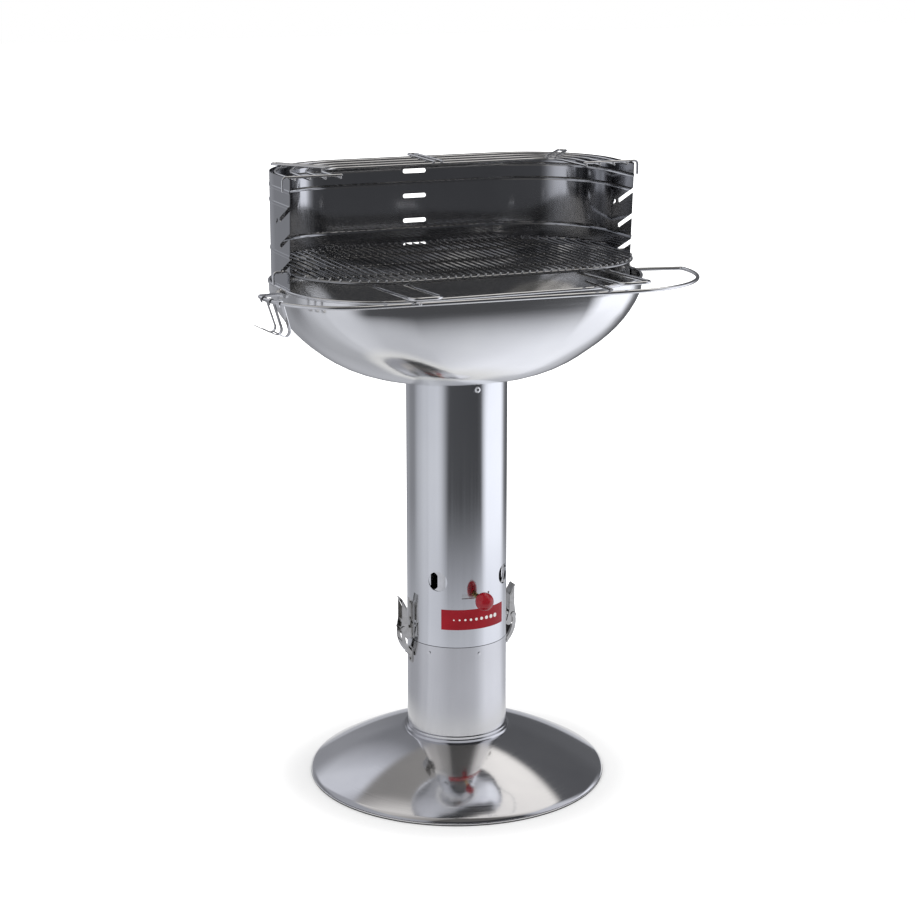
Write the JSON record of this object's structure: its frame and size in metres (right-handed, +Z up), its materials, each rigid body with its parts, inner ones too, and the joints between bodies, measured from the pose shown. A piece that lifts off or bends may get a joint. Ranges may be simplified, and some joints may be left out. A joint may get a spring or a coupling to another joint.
{
  "type": "park bbq grill pedestal",
  "caption": "Steel pedestal charcoal barbecue: dished foot, pillar with ash bucket and air control, oval fire bowl, windshield, lift-out grid, warming rack and rail.",
  "frame": {"origin": "on the floor at the centre of the foot's ring", "axes": "+Z up, the open front with the rail and the handles faces -Y, +X to the user's right when seen from the front"},
  "size_m": [0.717, 0.5315, 0.9871],
  "materials": {
    "mirror_steel": "mirror-polished stainless steel",
    "satin_steel": "fine satin-brushed stainless steel",
    "wire_steel": "polished stainless steel wire",
    "inner_steel": "plain sheet steel",
    "grate_steel": "dark heat-proof steel",
    "nickel_steel": "nickel-plated spring steel",
    "brass_stem": "turned brass",
    "knob_red": "glossy red moulded plastic",
    "label_red": "satin red enamel",
    "floor_rubber": "black moulded rubber"
  },
  "bodies": {
    "pedestal": {"foot_dome": "mirror_steel", "floor_ring": "floor_rubber", "foot_collar": "mirror_steel", "foot_bolts": "wire_steel", "foot_nuts": "wire_steel", "ash_bucket": "mirror_steel", "bucket_spigot": "inner_steel", "spigot_rivets": "wire_steel", "upper_pillar": "mirror_steel", "air_ring_rests": "inner_steel", "label_plate": "label_red", "bowl": "satin_steel", "bowl_rim": "wire_steel", "bowl_collar": "inner_steel", "bowl_screws": "wire_steel", "windshield": "satin_steel", "rail_bolts": "wire_steel", "rail_nuts": "wire_steel", "front_rail": "wire_steel", "rail_struts": "wire_steel", "latch_plates": "nickel_steel", "latch_catches": "nickel_steel", "latch_pins": "nickel_steel", "latch_rivets": "wire_steel", "latch_springs": "nickel_steel"},
    "air_control": {"air_ring": "inner_steel", "air_stem": "brass_stem", "air_knob": "knob_red"},
    "cooking_grid": {"grid_frame": "wire_steel", "grid_bars": "wire_steel", "grid_cross_wires": "wire_steel", "grid_side_hooks": "wire_steel", "grid_handles": "wire_steel", "grid_back_tab": "wire_steel"},
    "charcoal_grate": {"coal_grate_frame": "grate_steel", "coal_grate_bars": "grate_steel"},
    "warming_rack": {"rack_hoops": "wire_steel", "rack_front_bars": "wire_steel", "rack_ties": "wire_steel"},
    "hook_left_1": {"hook_1": "wire_steel"},
    "hook_left_2": {"hook_2": "wire_steel"},
    "hook_left_3": {"hook_3": "wire_steel"},
    "lever_right": {"latch_lever_right": "nickel_steel", "latch_link_pin_right": "nickel_steel"},
    "bow_right": {"latch_bow_right": "nickel_steel"},
    "lever_left": {"latch_lever_left": "nickel_steel", "latch_link_pin_left": "nickel_steel"},
    "bow_left": {"latch_bow_left": "nickel_steel"}
  },
  "joints": [
    {"name": "air_ring_turn", "type": "hinge", "parent": "pedestal", "child": "air_control", "pos_m": [0, 0, 0.34], "axis": [0, 0, 1], "range_deg": [-14, 10]},
    {"name": "cooking_grid_lift", "type": "slide", "parent": "pedestal", "child": "cooking_grid", "axis": [0, -0.9063, 0.4226], "range_m": [0, 0.12]},
    {"name": "charcoal_grate_lift", "type": "slide", "parent": "pedestal", "child": "charcoal_grate", "axis": [0, 0, 1], "range_m": [0, 0.1]},
    {"name": "warming_rack_lift", "type": "slide", "parent": "pedestal", "child": "warming_rack", "axis": [0, 0, 1], "range_m": [0, 0.15]},
    {"name": "hook_swing_1", "type": "hinge", "parent": "pedestal", "child": "hook_left_1", "pos_m": [-0.33691, -0.07037, 0.81355], "axis": [0.024, -0.9997, 0], "range_deg": [-20, 20]},
    {"name": "hook_swing_2", "type": "hinge", "parent": "pedestal", "child": "hook_left_2", "pos_m": [-0.33389, -0.09549, 0.81355], "axis": [0.2143, -0.9768, 0], "range_deg": [-20, 20]},
    {"name": "hook_swing_3", "type": "hinge", "parent": "pedestal", "child": "hook_left_3", "pos_m": [-0.32702, -0.11745, 0.81355], "axis": [0.3806, -0.9247, 0], "range_deg": [-20, 20]},
    {"name": "latch_lever_right_turn", "type": "hinge", "parent": "pedestal", "child": "lever_right", "pos_m": [0.088, 0, 0.24], "axis": [0, 1, 0], "range_deg": [0, 125]},
    {"name": "latch_bow_right_turn", "type": "hinge", "parent": "lever_right", "child": "bow_right", "pos_m": [0.096, 0, 0.252], "axis": [0, 1, 0], "range_deg": [-133, 0]},
    {"name": "latch_lever_left_turn", "type": "hinge", "parent": "pedestal", "child": "lever_left", "pos_m": [-0.088, 0, 0.24], "axis": [0, -1, 0], "range_deg": [0, 125]},
    {"name": "latch_bow_left_turn", "type": "hinge", "parent": "lever_left", "child": "bow_left", "pos_m": [-0.096, 0, 0.252], "axis": [0, -1, 0], "range_deg": [-133, 0]}
  ],
  "couplings": [
    {"joint": "latch_bow_right_turn", "follows": "latch_lever_right_turn", "ratio": -1.06},
    {"joint": "latch_bow_left_turn", "follows": "latch_lever_left_turn", "ratio": -1.06}
  ]
}
